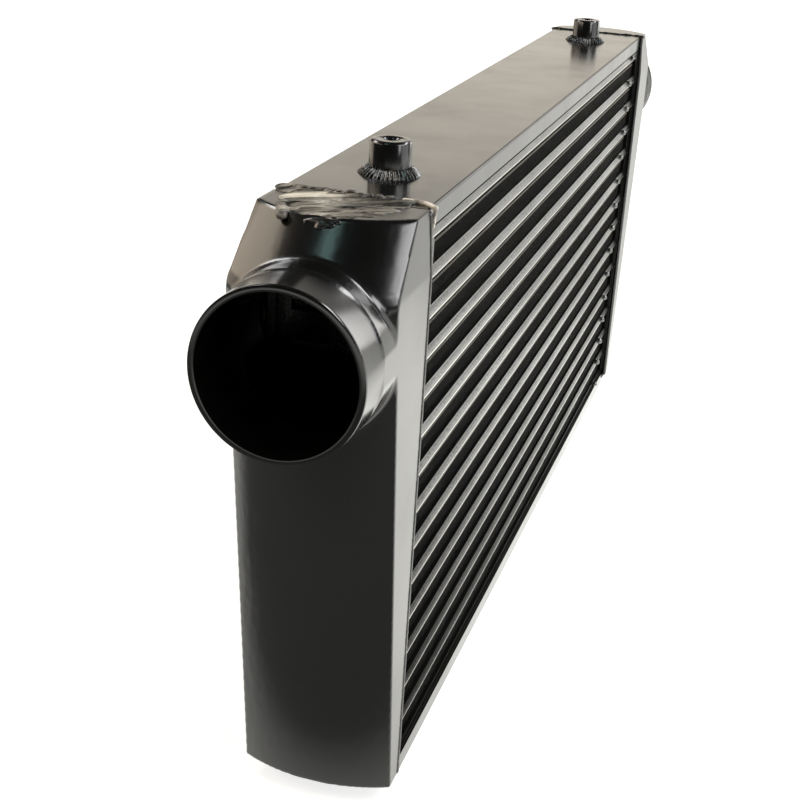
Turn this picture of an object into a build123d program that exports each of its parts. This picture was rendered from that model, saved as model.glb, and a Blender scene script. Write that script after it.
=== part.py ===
"""Bar-and-plate intercooler: a brazed aluminium core between two cast end tanks.

X runs along the core from the left tank to the right tank, Y through the core in the direction
of the cooling air, and Z up. The origin is the middle of the bottom side plate's underside.
All sizes are in millimetres.
"""
from build123d import *
import math
import os

os.makedirs("parts", exist_ok=True)

# Core envelope
CORE_LENGTH = 610.0  # between the two tank seats
CORE_DEPTH = 70.0  # front face to back face

# Core stack, one layer after another from the bottom side plate up
CHARGE_ROWS = 15
SIDE_PLATE_THICKNESS = 9.5
SIDE_PLATE_EDGE_RADIUS = 1.2
BAR_HEIGHT = 5.1
SHEET_THICKNESS = 0.8
FIN_HEIGHT = 12.7

# Long bars that close the charge-air rows at the front and back
BAR_DEPTH = 9.0
BAR_NOSE_CROWN = 0.8  # how far the bowed nose stands proud of the sheets

# Short bars that close the ends of the cooling-air rows
END_BAR_WIDTH = 13.0

# Corrugated cooling-air fins
FIN_SET_BACK = 2.5  # behind the core face
FIN_WAVES = 18
FIN_CREST_FLAT = 0.8
FIN_WALL_RISE = 1.0  # height of the notch floor behind each crest

# Corrugated turbulators inside the charge-air rows
TURBULATOR_WAVES = 3
TURBULATOR_CREST_FLAT = 0.8
TURBULATOR_WALL_RISE = 0.7
TURBULATOR_END_GAP = 6.0  # from the core's end to the strip's end

# End tanks, measured outwards from the core's end
TANK_STEP = 3.0  # how far the side faces stand proud of the core
TANK_WALL = 5.0
TANK_FLOOR = 3.5
TANK_FOOT_Z = 8.5  # the tank's underside, above the core's underside
TANK_FOOT_DEPTH = 12.5  # reach of the side faces at the foot
TANK_FOOT_BOW_RADIUS = 85.0  # plan radius of the outer wall at the foot
TANK_RIDGE_DROP = 28.5  # from the cap down to the ridge below the shoulder
TANK_RIDGE_DEPTH = 47.5
TANK_RIDGE_BOW_RADIUS = 56.0
TANK_RIDGE_RADIUS = 14.0
TANK_CAP_STEP = 1.0  # the same at the cap, where the side faces lean in
TANK_CAP_DEPTH = 19.0
TANK_CAP_BOW_RADIUS = 50.0
TANK_CAP_EDGE_RADIUS = 1.5

# Pipe stub, cast in one with the tank
HOSE_SEAT_DIAMETER = 76.0  # turned, for a hose of 76 mm bore
HOSE_SEAT_LENGTH = 22.0
PIPE_SKIN = 0.6  # as-cast metal that the turning leaves behind the hose seat
PIPE_WALL = 3.0  # under the hose seat
PIPE_DROP = 53.0  # from the cap down to the pipe's axis
PIPE_REACH = 85.0  # from the core's end to the pipe's mouth
PIPE_ROOT_RADIUS = 5.0
PIPE_LIP_CHAMFER = 0.9

# Threaded mounting bosses on the top plate
BOSS_INSET = 55.0  # from the core's end to the boss's axis
BOSS_DIAMETER = 20.0
BOSS_HEIGHT = 16.0
BOSS_CHAMFER = 1.0
BOSS_HOLE_DIAMETER = 6.8  # tapping size for an M8 thread
BOSS_HOLE_DEPTH = 14.0
BOSS_HOLE_CHAMFER = 0.6

# Weld beads
BOSS_BEAD_WIDTH = 6.0
BOSS_BEAD_HEIGHT = 5.5
BOSS_BEAD_CROWN = 3.6  # the bulged corner's distance from both legs
SIDE_BEAD_WIDTH = 4.0  # along the core face
FOOT_BEAD_LEG = 4.5
CAP_BEAD_WIDTH = 11.0
CAP_BEAD_HEIGHT = 1.8

# Places worked out from the sizes above
CHARGE_PITCH = BAR_HEIGHT + 2 * SHEET_THICKNESS + FIN_HEIGHT
FIRST_BAR_Z = SIDE_PLATE_THICKNESS + SHEET_THICKNESS
CORE_HEIGHT = (
    2 * SIDE_PLATE_THICKNESS
    + CHARGE_ROWS * (BAR_HEIGHT + 2 * SHEET_THICKNESS)
    + (CHARGE_ROWS - 1) * FIN_HEIGHT
)
HALF_LENGTH = CORE_LENGTH / 2
HALF_DEPTH = CORE_DEPTH / 2
TANK_SIDE_Y = HALF_DEPTH + TANK_STEP
TANK_CAP_SIDE_Y = HALF_DEPTH + TANK_CAP_STEP
TANK_RIDGE_Z = CORE_HEIGHT - TANK_RIDGE_DROP
HOSE_SEAT_RADIUS = HOSE_SEAT_DIAMETER / 2
HOSE_SEAT_START = PIPE_REACH - HOSE_SEAT_LENGTH
PIPE_RADIUS = HOSE_SEAT_RADIUS + PIPE_SKIN
PIPE_AXIS_Z = CORE_HEIGHT - PIPE_DROP
SAME_PLACE = 0.01  # how near an edge lies to the place that it is picked by


def save(shape, name):
    """Write one named sub-part as a STEP file."""
    shape.label = name
    export_step(shape, f"parts/{name}.step")


def bar_z(row):
    """Underside of the charge-air bar in a row, counted from 0 at the bottom."""
    return FIRST_BAR_Z + row * CHARGE_PITCH


def fin_z(row):
    """Underside of the cooling-air fin in a row, counted from 0 at the bottom."""
    return bar_z(row) + BAR_HEIGHT + SHEET_THICKNESS


def block(length, depth, height, x=0.0, y=0.0, z=0.0):
    """A box centred on x and y, standing on z."""
    return Pos(x, y, z) * Box(length, depth, height, align=(Align.CENTER, Align.CENTER, Align.MIN))


def corrugation(span, height, waves, flat, rise):
    """Section of a corrugated strip: flat-crested zigzag, centred on 0, standing on 0."""
    pitch = span / waves
    half_flat = flat / 2
    lower = [(-span / 2, 0)]
    upper = []
    for wave in range(waves):
        start = -span / 2 + wave * pitch
        middle = start + pitch / 2
        lower += [(start + half_flat, 0), (middle, height - rise), (start + pitch - half_flat, 0)]
        upper += [(start, rise), (middle - half_flat, height), (middle + half_flat, height)]
    lower.append((span / 2, 0))
    upper.append((span / 2, rise))
    return make_face(Polyline(*lower, *reversed(upper), close=True))


def side_plate(z):
    """Thick plate that closes the stack; its long edges are rounded."""
    plate = block(CORE_LENGTH, CORE_DEPTH, SIDE_PLATE_THICKNESS, z=z)
    outer_z = 0.0 if z == 0.0 else CORE_HEIGHT
    rim = [edge for edge in plate.edges().filter_by(Axis.X) if abs(edge.center().Z - outer_z) < SAME_PLACE]
    return fillet(rim, SIDE_PLATE_EDGE_RADIUS)


def charge_bar(row, facing):
    """Long bar with a bowed nose; facing is -1 for the front and 1 for the back."""
    inner = HALF_DEPTH - BAR_DEPTH
    shoulder = HALF_DEPTH - BAR_NOSE_CROWN
    back = Polyline((shoulder, 0), (inner, 0), (inner, BAR_HEIGHT), (shoulder, BAR_HEIGHT))
    nose = ThreePointArc((shoulder, BAR_HEIGHT), (HALF_DEPTH, BAR_HEIGHT / 2), (shoulder, 0))
    section = make_face(back + nose)
    plane = Plane(origin=(-HALF_LENGTH, 0, bar_z(row)), x_dir=(0, 1, 0), z_dir=(1, 0, 0))
    bar = extrude(plane * section, CORE_LENGTH)
    return bar if facing > 0 else mirror(bar, Plane.XZ)


def parting_sheets():
    """Thin plates above and below every charge-air row, one solid each."""
    depth = CORE_DEPTH - 2 * BAR_NOSE_CROWN
    levels = []
    for row in range(CHARGE_ROWS):
        levels += [bar_z(row) - SHEET_THICKNESS, bar_z(row) + BAR_HEIGHT]
    return Compound(children=[block(CORE_LENGTH, depth, SHEET_THICKNESS, z=z) for z in levels])


def end_bars(side):
    """Short bars at one end of the fins, one solid for each cooling-air row."""
    x = side * (HALF_LENGTH - END_BAR_WIDTH / 2)
    levels = [fin_z(row) for row in range(CHARGE_ROWS - 1)]
    return Compound(children=[block(END_BAR_WIDTH, CORE_DEPTH, FIN_HEIGHT, x=x, z=z) for z in levels])


def cooling_fin(row):
    """Corrugated strip that fills one cooling-air row between its end bars."""
    span = CORE_LENGTH - 2 * END_BAR_WIDTH
    section = corrugation(span, FIN_HEIGHT, FIN_WAVES, FIN_CREST_FLAT, FIN_WALL_RISE)
    plane = Plane(origin=(0, HALF_DEPTH - FIN_SET_BACK, fin_z(row)), x_dir=(1, 0, 0), z_dir=(0, -1, 0))
    return extrude(plane * section, CORE_DEPTH - 2 * FIN_SET_BACK)


def turbulators():
    """Corrugated strips along the charge-air rows, one solid for each row."""
    span = CORE_DEPTH - 2 * BAR_DEPTH
    length = CORE_LENGTH - 2 * TURBULATOR_END_GAP
    section = corrugation(span, BAR_HEIGHT, TURBULATOR_WAVES, TURBULATOR_CREST_FLAT, TURBULATOR_WALL_RISE)
    strips = []
    for row in range(CHARGE_ROWS):
        plane = Plane(origin=(-length / 2, 0, bar_z(row)), x_dir=(0, 1, 0), z_dir=(1, 0, 0))
        strips.append(extrude(plane * section, length))
    return Compound(children=strips)


def tank_block(half_width, back, wall, floor):
    """Tapered tank form with a bowed outer wall, drawn inwards by a wall and a floor thickness."""
    stations = [
        (TANK_FOOT_Z + floor, TANK_FOOT_DEPTH, TANK_SIDE_Y, TANK_FOOT_BOW_RADIUS),
        (TANK_RIDGE_Z, TANK_RIDGE_DEPTH, TANK_SIDE_Y, TANK_RIDGE_BOW_RADIUS),
        (CORE_HEIGHT - wall, TANK_CAP_DEPTH + wall, TANK_CAP_SIDE_Y, TANK_CAP_BOW_RADIUS),
    ]
    sections = []
    for z, side_depth, side_y, bow_radius in stations:
        centre = side_depth - math.sqrt(bow_radius**2 - side_y**2)
        inner_radius = bow_radius - wall
        edge = centre + math.sqrt(inner_radius**2 - half_width**2)
        bow = ThreePointArc((edge, -half_width), (centre + inner_radius, 0), (edge, half_width))
        sides = Polyline((edge, half_width), (back, half_width), (back, -half_width), (edge, -half_width))
        sections.append(Plane.XY.offset(z) * make_face(bow + sides))
    return loft(sections, ruled=True)


def pipe_rod(radius, start, end):
    """Round rod on the pipe's axis between two distances from the core."""
    plane = Plane(origin=(start, 0, PIPE_AXIS_Z), z_dir=(1, 0, 0))
    return plane * Cylinder(radius, end - start, align=(Align.CENTER, Align.CENTER, Align.MIN))


def on_pipe(edge):
    """Whether an edge lies on the cast pipe's outside, between the tank wall and the hose seat."""
    points = [edge.position_at(share) for share in (0.1, 0.5, 0.9)]
    radii = [math.hypot(point.Y, point.Z - PIPE_AXIS_Z) for point in points]
    return (
        edge.geom_type != GeomType.LINE
        and all(abs(radius - PIPE_RADIUS) < 2 * SAME_PLACE for radius in radii)
        and all(PIPE_WALL < point.X < HOSE_SEAT_START - PIPE_SKIN for point in points)
    )


def tank_width_block():
    """Everything between the tank's two side faces, which lean in above the ridge."""
    section = Polyline(
        (-TANK_SIDE_Y, 0),
        (TANK_SIDE_Y, 0),
        (TANK_SIDE_Y, TANK_RIDGE_Z),
        (TANK_CAP_SIDE_Y, CORE_HEIGHT),
        (-TANK_CAP_SIDE_Y, CORE_HEIGHT),
        (-TANK_SIDE_Y, TANK_RIDGE_Z),
        close=True,
    )
    return extrude(Plane.YZ * make_face(section), PIPE_REACH)


def end_tank():
    """Right-hand casting: hollow tapered tank and pipe stub in one; x is 0 at the core."""
    # The form starts wider than the tank, so that the pipe's root blend closes all the way round.
    outer = tank_block((PIPE_RADIUS + TANK_CAP_BOW_RADIUS) / 2, -TANK_WALL, 0, 0)
    ridge = [
        edge
        for edge in outer.edges()
        if edge.geom_type != GeomType.LINE and abs(edge.center().Z - TANK_RIDGE_Z) < SAME_PLACE
    ]
    outer = fillet(ridge, TANK_RIDGE_RADIUS)
    outer += pipe_rod(PIPE_RADIUS, 0, HOSE_SEAT_START)
    outer = fillet([edge for edge in outer.edges() if on_pipe(edge)], PIPE_ROOT_RADIUS)
    # Flat sides, in line with the hose seat, and the joint face on the core.
    outer &= tank_width_block()
    outer += pipe_rod(HOSE_SEAT_RADIUS, HOSE_SEAT_START, PIPE_REACH)
    cap = [
        edge
        for edge in outer.edges()
        if edge.center().X > TANK_CAP_DEPTH and abs(edge.center().Z - CORE_HEIGHT) < SAME_PLACE
    ]
    outer = fillet(cap, TANK_CAP_EDGE_RADIUS)
    # Air space, open to the core and to the pipe's bore.
    outer -= tank_block(TANK_SIDE_Y - TANK_WALL, -TANK_WALL, TANK_WALL, TANK_FLOOR)
    outer -= pipe_rod(HOSE_SEAT_RADIUS - PIPE_WALL, TANK_FOOT_DEPTH, PIPE_REACH + PIPE_WALL)
    mouth = [edge for edge in outer.edges() if abs(edge.center().X - PIPE_REACH) < SAME_PLACE]
    return chamfer(mouth, PIPE_LIP_CHAMFER)


def boss(x):
    """Turned boss with a blind threaded hole, standing on the top plate."""
    body = Pos(x, 0, CORE_HEIGHT) * Cylinder(
        BOSS_DIAMETER / 2, BOSS_HEIGHT, align=(Align.CENTER, Align.CENTER, Align.MIN)
    )
    top_z = CORE_HEIGHT + BOSS_HEIGHT
    circles = body.edges().filter_by(GeomType.CIRCLE)
    rim = [edge for edge in circles if abs(edge.center().Z - top_z) < SAME_PLACE]
    body = chamfer(rim, BOSS_CHAMFER)
    body -= Pos(x, 0, top_z) * Cylinder(
        BOSS_HOLE_DIAMETER / 2, BOSS_HOLE_DEPTH, align=(Align.CENTER, Align.CENTER, Align.MAX)
    )
    hole = [
        edge
        for edge in body.edges().filter_by(GeomType.CIRCLE)
        if abs(edge.center().Z - top_z) < SAME_PLACE and edge.radius < BOSS_DIAMETER / 3
    ]
    return chamfer(hole, BOSS_HOLE_CHAMFER)


def boss_bead(x):
    """Fillet weld round the foot of a boss."""
    inner = BOSS_DIAMETER / 2
    outer = inner + BOSS_BEAD_WIDTH
    crown = (inner + BOSS_BEAD_CROWN, BOSS_BEAD_CROWN)
    section = Polyline((inner, 0), (outer, 0), crown, (inner, BOSS_BEAD_HEIGHT), close=True)
    return Pos(x, 0, CORE_HEIGHT) * revolve(Plane.XZ * make_face(section), Axis.Z)


def side_bead():
    """Fillet weld in the step between the core's back face and the right-hand tank's side."""
    cap_width = SIDE_BEAD_WIDTH * TANK_CAP_STEP / TANK_STEP
    stations = [
        (TANK_FOOT_Z, TANK_SIDE_Y, SIDE_BEAD_WIDTH),
        (TANK_RIDGE_Z, TANK_SIDE_Y, SIDE_BEAD_WIDTH),
        (CORE_HEIGHT, TANK_CAP_SIDE_Y, cap_width),
    ]
    sections = []
    for z, side_y, width in stations:
        corner = Polyline((0, HALF_DEPTH), (0, side_y), (-width, HALF_DEPTH), close=True)
        sections.append(Plane.XY.offset(z) * make_face(corner))
    return loft(sections, ruled=True)


def foot_bead():
    """Fillet weld in the step between the core's end and the right-hand tank's underside."""
    corner = Polyline(
        (0, TANK_FOOT_Z), (FOOT_BEAD_LEG, TANK_FOOT_Z), (0, TANK_FOOT_Z - FOOT_BEAD_LEG), close=True
    )
    plane = Plane(origin=(0, HALF_DEPTH, 0), x_dir=(1, 0, 0), z_dir=(0, -1, 0))
    return extrude(plane * make_face(corner), CORE_DEPTH)


def cap_bead():
    """Domed weld over the seam between the top plate and the right-hand tank's cap."""
    half_width = CAP_BEAD_WIDTH / 2
    crown = ThreePointArc((-half_width, 0), (0, CAP_BEAD_HEIGHT), (half_width, 0))
    plane = Plane(origin=(0, HALF_DEPTH, CORE_HEIGHT), x_dir=(1, 0, 0), z_dir=(0, -1, 0))
    return extrude(plane * make_face(crown + Line((half_width, 0), (-half_width, 0))), CORE_DEPTH)


save(side_plate(CORE_HEIGHT - SIDE_PLATE_THICKNESS), "top_side_plate")
save(side_plate(0.0), "bottom_side_plate")
for number in range(CHARGE_ROWS):
    save(charge_bar(number, -1), f"front_bar_{number + 1:02d}")
    save(charge_bar(number, 1), f"back_bar_{number + 1:02d}")
for number in range(CHARGE_ROWS - 1):
    save(cooling_fin(number), f"cooling_fin_{number + 1:02d}")
save(parting_sheets(), "parting_sheets")
save(turbulators(), "charge_turbulators")
save(end_bars(-1), "left_end_bars")
save(end_bars(1), "right_end_bars")

right_tank = Pos(HALF_LENGTH, 0, 0) * end_tank()
save(right_tank, "right_end_tank")
save(mirror(right_tank, Plane.YZ), "left_end_tank")
seam = [side_bead(), mirror(side_bead(), Plane.XZ), foot_bead(), cap_bead()]
right_seam = [Pos(HALF_LENGTH, 0, 0) * bead for bead in seam]
save(Compound(children=right_seam), "right_tank_weld")
save(Compound(children=[mirror(bead, Plane.YZ) for bead in right_seam]), "left_tank_weld")

for side, x in (("left", BOSS_INSET - HALF_LENGTH), ("right", HALF_LENGTH - BOSS_INSET)):
    save(boss(x), f"{side}_boss")
    save(boss_bead(x), f"{side}_boss_weld")
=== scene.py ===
import math
import random

import bpy
import bmesh
from mathutils import Matrix, Vector


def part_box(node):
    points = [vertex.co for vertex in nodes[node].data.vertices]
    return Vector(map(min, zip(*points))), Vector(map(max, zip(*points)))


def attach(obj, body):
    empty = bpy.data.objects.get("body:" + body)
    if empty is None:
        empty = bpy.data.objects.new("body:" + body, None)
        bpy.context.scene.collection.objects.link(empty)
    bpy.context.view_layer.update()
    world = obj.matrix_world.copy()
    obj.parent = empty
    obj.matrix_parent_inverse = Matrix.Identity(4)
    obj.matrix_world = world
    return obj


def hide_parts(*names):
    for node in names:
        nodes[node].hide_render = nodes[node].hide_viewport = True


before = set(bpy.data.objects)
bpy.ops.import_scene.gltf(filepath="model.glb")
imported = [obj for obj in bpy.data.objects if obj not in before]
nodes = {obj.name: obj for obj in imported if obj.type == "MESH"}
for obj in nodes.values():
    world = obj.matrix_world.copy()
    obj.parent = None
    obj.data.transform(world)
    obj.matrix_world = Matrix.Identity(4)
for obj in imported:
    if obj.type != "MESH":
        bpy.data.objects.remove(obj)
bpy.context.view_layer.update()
bpy.ops.object.select_all(action="DESELECT")


# ---------------------------------------------------------------- side plates
# The two thick aluminium plates that close the stack at top and bottom.
# They are sawn from flat bar, brazed to the stack and sprayed with the whole core.

def linear(hex_colour):
    """An sRGB hex colour as the linear RGBA that a shader socket takes."""
    parts = [int(hex_colour[i:i + 2], 16) / 255 for i in (1, 3, 5)]
    return [p / 12.92 if p <= 0.04045 else ((p + 0.055) / 1.055) ** 2.4 for p in parts] + [1.0]


def add_node(material, kind, settings=(), inputs=(), links=()):
    """One shader node with its settings, its input values and the links that feed it."""
    tree = material.node_tree
    node = tree.nodes.new(kind)
    for name, value in dict(settings).items():
        setattr(node, name, value)
    for name, value in dict(inputs).items():
        node.inputs[name].default_value = value
    for name, output in dict(links).items():
        tree.links.new(output, node.inputs[name])
    return node


def new_material(name):
    """An empty material and its output node."""
    material = bpy.data.materials.new(name)
    material.use_nodes = True
    material.node_tree.nodes.clear()
    return material, add_node(material, "ShaderNodeOutputMaterial")


def black_enamel(name, colour, peel_mm, peel_height_mm, roughness, haze, gloss=1.65):
    """Sprayed black enamel on aluminium. Gives the eye a near-black body with a soft, bright
    reflection at low angles, broken by orange peel and by hazy patches of dry overspray.
    The gloss is the enamel's index of refraction."""
    haze_patch = 0.045
    material, output = new_material(name)
    place = add_node(material, "ShaderNodeTexCoord").outputs["Object"]
    clouds = add_node(material, "ShaderNodeTexNoise",
                      inputs={"Scale": 1 / haze_patch, "Detail": 4.0, "Roughness": 0.6},
                      links={"Vector": place})
    cloudy = add_node(material, "ShaderNodeMapRange",
                      inputs={"From Min": 0.35, "From Max": 0.7,
                              "To Min": roughness, "To Max": roughness + haze},
                      links={"Value": clouds.outputs["Fac"]})
    peel = add_node(material, "ShaderNodeTexNoise", inputs={"Scale": 1000 / peel_mm, "Detail": 1.5},
                    links={"Vector": place})
    bump = add_node(material, "ShaderNodeBump", inputs={"Strength": 1.0, "Distance": peel_height_mm / 1000},
                    links={"Height": peel.outputs["Fac"]})
    shader = add_node(material, "ShaderNodeBsdfPrincipled",
                      inputs={"Base Color": linear(colour), "IOR": gloss},
                      links={"Roughness": cloudy.outputs["Result"], "Normal": bump.outputs["Normal"]})
    material.node_tree.links.new(shader.outputs["BSDF"], output.inputs["Surface"])
    return material


def drive(material, socket, output):
    """Lets a pattern's output drive one input of an enamel's shader."""
    shader = material.node_tree.nodes["Principled BSDF"]
    material.node_tree.links.new(output, shader.inputs[socket])


def clothe(name, material):
    """Gives a carried-over CAD node its finish."""
    nodes[name].data.materials.clear()
    nodes[name].data.materials.append(material)


full_shine = 0.5  # the enamel's full specular level, where no painted shade turns it down
plate_enamel = black_enamel("plate_gloss_black_enamel", "#121211", peel_mm=2.4, peel_height_mm=0.006,
                            roughness=0.15, haze=0.08)
# the bevelled long edges are turned dull: painted shade, a dark line along each edge of the plate
facing = add_node(plate_enamel, "ShaderNodeTexCoord").outputs["Normal"]
normal = add_node(plate_enamel, "ShaderNodeSeparateXYZ", links={"Vector": facing})
slant = add_node(plate_enamel, "ShaderNodeMath", {"operation": "MULTIPLY"},
                 links={0: normal.outputs["Y"], 1: normal.outputs["Z"]})
steep = add_node(plate_enamel, "ShaderNodeMath", {"operation": "ABSOLUTE"},
                 links={0: slant.outputs["Value"]})
drawn = add_node(plate_enamel, "ShaderNodeMapRange",
                 inputs={"From Min": 0.1, "From Max": 0.2, "To Min": full_shine, "To Max": 0.06},
                 links={"Value": steep.outputs["Value"]})
drive(plate_enamel, "Specular IOR Level", drawn.outputs["Result"])
for name in ("top_side_plate", "bottom_side_plate"):
    clothe(name, plate_enamel)

# ---------------------------------------------------------------- charge-air bars
# Fifteen pairs of long aluminium bars with bowed noses, which close the charge-air rows
# at the front and back. They are extruded, brazed between the sheets and sprayed.

bar_rows = sum(name.startswith("front_bar_") for name in nodes)
# where the painted shade at the bars' right-hand ends begins and where it is full
dark_strip_start, dark_strip_end = 0.266, 0.270
shade_lean = 0.2  # how much the painted shade on the lower bars climbs towards the left-hand tank
shade_height = 0.22
grit_mm = 0.9

bar_enamel = black_enamel("bar_gloss_black_enamel", "#111110", peel_mm=1.3, peel_height_mm=0.055,
                          roughness=0.17, haze=0.10, gloss=1.6)
place = add_node(bar_enamel, "ShaderNodeTexCoord")
apart = add_node(bar_enamel, "ShaderNodeSeparateXYZ", links={"Vector": place.outputs["Object"]})
# the reflection runs evenly over the nose, which is bowed by less than a millimetre
flat = add_node(bar_enamel, "ShaderNodeVectorMath", {"operation": "MULTIPLY"}, {1: (1.0, 1.0, 0.25)},
                {0: place.outputs["Normal"]})
bar_enamel.node_tree.links.new(flat.outputs["Vector"], bar_enamel.node_tree.nodes["Bump"].inputs["Normal"])
# the last centimetres beside the right-hand tank are turned dull: painted shade, standing in for the dark
# step that they reflect
painted_dark_strip = add_node(bar_enamel, "ShaderNodeMapRange",
                 inputs={"From Min": dark_strip_start, "From Max": dark_strip_end,
                         "To Min": full_shine, "To Max": 0.03},
                 links={"Value": apart.outputs["X"]})
# painted shade takes the shine off the lower bars, most of all towards the left-hand tank
place_up = add_node(bar_enamel, "ShaderNodeMath", {"operation": "MULTIPLY_ADD"}, {1: shade_lean},
                    {0: apart.outputs["X"], 2: apart.outputs["Z"]})
unshaded_share = add_node(bar_enamel, "ShaderNodeMapRange",
                   inputs={"From Min": 0.0, "From Max": shade_height, "To Min": 0.24, "To Max": 1.0},
                   links={"Value": place_up.outputs["Value"]})
shade_curve = add_node(bar_enamel, "ShaderNodeMath", {"operation": "POWER"}, {1: 3.2},
                 {0: unshaded_share.outputs["Result"]})
shine = add_node(bar_enamel, "ShaderNodeMath", {"operation": "MULTIPLY"},
                 links={0: painted_dark_strip.outputs["Result"], 1: shade_curve.outputs["Value"]})
# grit in the spray, drawn a little coarser than it is
grit = add_node(bar_enamel, "ShaderNodeTexNoise", inputs={"Scale": 1000 / grit_mm, "Detail": 2.0},
                links={"Vector": place.outputs["Object"]})
speckle = add_node(bar_enamel, "ShaderNodeMapRange",
                   inputs={"From Min": 0.38, "From Max": 0.62, "To Min": 0.30, "To Max": 1.5},
                   links={"Value": grit.outputs["Fac"]})
gritty = add_node(bar_enamel, "ShaderNodeMath", {"operation": "MULTIPLY"},
                  links={0: shine.outputs["Value"], 1: speckle.outputs["Result"]})
drive(bar_enamel, "Specular IOR Level", gritty.outputs["Value"])
for row in range(2, bar_rows + 1):
    clothe(f"front_bar_{row:02d}", bar_enamel)
    clothe(f"back_bar_{row:02d}", bar_enamel)

# The lowest row's bars get a dull near-black finish that hardly reflects.
dull_enamel = black_enamel("dull_black_finish_and_painted_shade", "#0a0a08", peel_mm=1.3, peel_height_mm=0.03,
                           roughness=0.60, haze=0.10, gloss=1.04)
clothe("front_bar_01", dull_enamel)
clothe("back_bar_01", dull_enamel)

# ---------------------------------------------------------------- parting sheets and end bars
# Thin clad sheets between the rows, and short bars that close the ends of the cooling-air
# rows. All are brazed; the sheets' edges show as thin lines above and below each bar.


def cad_copy(node, name):
    """A free copy of a CAD node with its loose triangles merged, ready to be reworked."""
    bpy.ops.object.select_all(action="DESELECT")
    piece = nodes[node].copy()
    piece.data = piece.data.copy()
    piece.parent = None
    for key in list(piece.keys()):
        del piece[key]
    piece.name = piece.data.name = name
    bpy.context.scene.collection.objects.link(piece)
    piece.select_set(True)
    bpy.context.view_layer.objects.active = piece
    bpy.ops.object.mode_set(mode="EDIT")
    bpy.ops.mesh.select_mode(type="VERT")
    bpy.ops.mesh.select_all(action="SELECT")
    bpy.ops.mesh.remove_doubles(threshold=0.00001)
    bpy.ops.object.mode_set(mode="OBJECT")
    return piece


def select_vertices(piece, chosen):
    """In edit mode, selects the vertices for which the test holds."""
    shape = bmesh.from_edit_mesh(piece.data)
    for vertex in shape.verts:
        vertex.select_set(False)
    for vertex in shape.verts:
        if chosen(vertex):
            vertex.select_set(True)
    shape.select_flush_mode()
    bmesh.update_edit_mesh(piece.data)


# A sheet's edge in pale metal: a painted highlight. Gives the eye a thin bright line, broken by noise.
highlight_breaks_per_metre = 420.0  # a break in the highlight every 2.4 mm
edge_highlight, output = new_material("sheet_edge_painted_highlight")
place = add_node(edge_highlight, "ShaderNodeTexCoord").outputs["Object"]
highlight_breaks = add_node(edge_highlight, "ShaderNodeTexNoise", inputs={"Scale": highlight_breaks_per_metre, "Detail": 3.0},
                links={"Vector": place})
highlight_metalness = add_node(edge_highlight, "ShaderNodeMapRange",
                 inputs={"From Min": 0.35, "From Max": 0.6, "To Min": 0.4, "To Max": 0.9},
                 links={"Value": highlight_breaks.outputs["Fac"]})
shader = add_node(edge_highlight, "ShaderNodeBsdfPrincipled",
                  inputs={"Base Color": linear("#bcb9b0"), "Roughness": 0.28},
                  links={"Metallic": highlight_metalness.outputs["Result"]})
edge_highlight.node_tree.links.new(shader.outputs["BSDF"], output.inputs["Surface"])

sheet_reach = 0.00085  # a sheet's thickness and a hair more
outer_low, outer_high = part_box("parting_sheets")
plate_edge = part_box("top_side_plate")[1].y
under_bars = [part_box(f"front_bar_{row:02d}")[0].z for row in range(1, bar_rows + 1)]


def under_a_plate(height):
    """Whether a height lies within one of the two outermost sheets."""
    return height > outer_high.z - sheet_reach or height < outer_low.z + sheet_reach


# The outermost two reach the plates' edges and lie in their shade; their dull finish is painted shade, the
# dark line at each plate's edge.
# Of the others, the one under each bar gets a pale metal edge along its front: a painted highlight.
sheets = cad_copy("parting_sheets", "brazed_sheets")
bpy.ops.object.mode_set(mode="EDIT")
select_vertices(sheets, lambda v: under_a_plate(v.co.z) and abs(v.co.y) > 0.9 * outer_high.y)
bpy.ops.transform.resize(value=(1, plate_edge / outer_high.y, 1), center_override=(0, 0, 0))
bpy.ops.object.mode_set(mode="OBJECT")
sheets.data.materials.clear()
for material in (bar_enamel, dull_enamel, edge_highlight):
    sheets.data.materials.append(material)
for face in sheets.data.polygons:
    height = face.center.z
    if under_a_plate(height):
        face.material_index = 1
    elif abs(face.normal.y) > 0.9 and any(-sheet_reach < height - under < 0 for under in under_bars):
        face.material_index = 2
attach(sheets, "root")
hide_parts("parting_sheets")
clothe("left_end_bars", bar_enamel)
clothe("right_end_bars", bar_enamel)

# ---------------------------------------------------------------- charge-air turbulators
# Corrugated strips of thin aluminium that fill the charge-air rows from side to side.
# They are brazed in and stay bare, because no spray reaches them.


def folded_strip(axis, waves, low, high, metal):
    """The middle sheet of a strip that is folded in square waves along X (0) or Y (1) in a box."""
    cells = [1, 1]
    cells[axis] = waves * 4
    bpy.ops.object.select_all(action="DESELECT")
    bpy.ops.mesh.primitive_grid_add(x_subdivisions=cells[0], y_subdivisions=cells[1], size=1,
                                    location=(0, 0, low.z + metal / 2))
    strip = bpy.context.active_object
    strip.scale = (high.x - low.x, high.y - low.y, 1)
    bpy.ops.object.transform_apply(location=True, rotation=False, scale=True)
    quarter_wave = (high[axis] - low[axis]) / waves / 4
    for vertex in strip.data.vertices:
        vertex.select = round((vertex.co[axis] - low[axis]) / quarter_wave) % 4 in (2, 3)
    for part in (*strip.data.edges, *strip.data.polygons):
        part.select = all(strip.data.vertices[v].select for v in part.vertices)
    bpy.ops.object.mode_set(mode="EDIT")
    bpy.ops.transform.translate(value=(0, 0, high.z - low.z - metal))
    bpy.ops.object.mode_set(mode="OBJECT")
    return strip


def work(piece, name, kind, **settings):
    """Adds a modifier with its settings to the active piece and applies it."""
    modifier = piece.modifiers.new(name, kind)
    for setting, value in settings.items():
        setattr(modifier, setting, value)
    bpy.ops.object.modifier_apply(modifier=modifier.name)


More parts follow.
